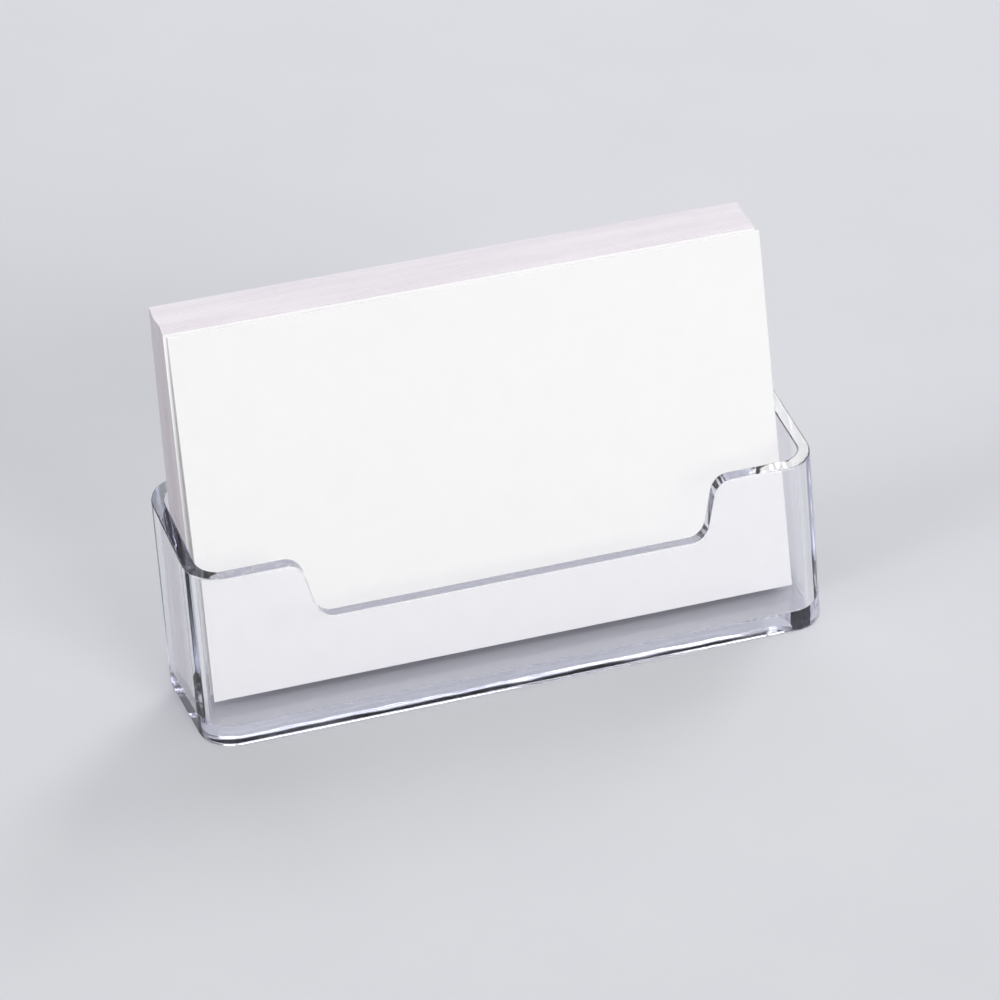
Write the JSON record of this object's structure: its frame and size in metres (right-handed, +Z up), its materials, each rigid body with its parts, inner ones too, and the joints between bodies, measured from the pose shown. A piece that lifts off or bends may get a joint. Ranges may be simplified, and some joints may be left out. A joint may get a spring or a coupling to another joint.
{
  "type": "card holder",
  "caption": "Clear moulded desk holder that leans back, with a notched front wall and a sloping rim, filled with a stack of loose plain white cards.",
  "frame": {"origin": "on the desk, at the middle of the whole object's footprint", "axes": "+X to the right along the cards, +Y to the back, the way the cards lean, and +Z up"},
  "size_m": [0.096, 0.0318, 0.0556],
  "materials": {
    "clear_acrylic": "clear, polished",
    "card_stock": "smooth white card stock, uncoated edges"
  },
  "bodies": {
    "holder": {"holder": "clear_acrylic"},
    "card_01": {"card_01": "card_stock"},
    "card_02": {"card_02": "card_stock"},
    "card_03": {"card_03": "card_stock"},
    "card_04": {"card_04": "card_stock"},
    "card_05": {"card_05": "card_stock"},
    "card_06": {"card_06": "card_stock"},
    "card_07": {"card_07": "card_stock"},
    "card_08": {"card_08": "card_stock"},
    "card_09": {"card_09": "card_stock"},
    "card_10": {"card_10": "card_stock"},
    "card_11": {"card_11": "card_stock"},
    "card_12": {"card_12": "card_stock"},
    "card_13": {"card_13": "card_stock"},
    "card_14": {"card_14": "card_stock"},
    "card_15": {"card_15": "card_stock"},
    "card_16": {"card_16": "card_stock"},
    "card_17": {"card_17": "card_stock"},
    "card_18": {"card_18": "card_stock"},
    "card_19": {"card_19": "card_stock"},
    "card_20": {"card_20": "card_stock"}
  },
  "joints": [
    {"name": "card_01_lift", "type": "slide", "parent": "card_02", "child": "card_01", "axis": [0, 0.2857, 0.9583], "range_m": [0, 0.056]},
    {"name": "card_02_lift", "type": "slide", "parent": "card_03", "child": "card_02", "axis": [0, 0.2589, 0.9659], "range_m": [0, 0.056]},
    {"name": "card_03_lift", "type": "slide", "parent": "card_04", "child": "card_03", "axis": [0, 0.2563, 0.9666], "range_m": [0, 0.056]},
    {"name": "card_04_lift", "type": "slide", "parent": "card_05", "child": "card_04", "axis": [0, 0.2537, 0.9673], "range_m": [0, 0.056]},
    {"name": "card_05_lift", "type": "slide", "parent": "card_06", "child": "card_05", "axis": [0, 0.251, 0.968], "range_m": [0, 0.056]},
    {"name": "card_06_lift", "type": "slide", "parent": "card_07", "child": "card_06", "axis": [0, 0.2484, 0.9687], "range_m": [0, 0.056]},
    {"name": "card_07_lift", "type": "slide", "parent": "card_08", "child": "card_07", "axis": [0, 0.2458, 0.9693], "range_m": [0, 0.056]},
    {"name": "card_08_lift", "type": "slide", "parent": "card_09", "child": "card_08", "axis": [0, 0.2431, 0.97], "range_m": [0, 0.056]},
    {"name": "card_09_lift", "type": "slide", "parent": "card_10", "child": "card_09", "axis": [0, 0.2405, 0.9707], "range_m": [0, 0.056]},
    {"name": "card_10_lift", "type": "slide", "parent": "card_11", "child": "card_10", "axis": [0, 0.2379, 0.9713], "range_m": [0, 0.056]},
    {"name": "card_11_lift", "type": "slide", "parent": "card_12", "child": "card_11", "axis": [0, 0.2352, 0.9719], "range_m": [0, 0.056]},
    {"name": "card_12_lift", "type": "slide", "parent": "card_13", "child": "card_12", "axis": [0, 0.2326, 0.9726], "range_m": [0, 0.056]},
    {"name": "card_13_lift", "type": "slide", "parent": "card_14", "child": "card_13", "axis": [0, 0.2299, 0.9732], "range_m": [0, 0.056]},
    {"name": "card_14_lift", "type": "slide", "parent": "card_15", "child": "card_14", "axis": [0, 0.2273, 0.9738], "range_m": [0, 0.056]},
    {"name": "card_15_lift", "type": "slide", "parent": "card_16", "child": "card_15", "axis": [0, 0.2246, 0.9744], "range_m": [0, 0.056]},
    {"name": "card_16_lift", "type": "slide", "parent": "card_17", "child": "card_16", "axis": [0, 0.222, 0.9751], "range_m": [0, 0.056]},
    {"name": "card_17_lift", "type": "slide", "parent": "card_18", "child": "card_17", "axis": [0, 0.2193, 0.9757], "range_m": [0, 0.056]},
    {"name": "card_18_lift", "type": "slide", "parent": "card_19", "child": "card_18", "axis": [0, 0.2166, 0.9763], "range_m": [0, 0.056]},
    {"name": "card_19_lift", "type": "slide", "parent": "card_20", "child": "card_19", "axis": [0, 0.214, 0.9768], "range_m": [0, 0.056]},
    {"name": "card_20_lift", "type": "slide", "parent": "holder", "child": "card_20", "axis": [0, 0.2113, 0.9774], "range_m": [0, 0.056]}
  ]
}
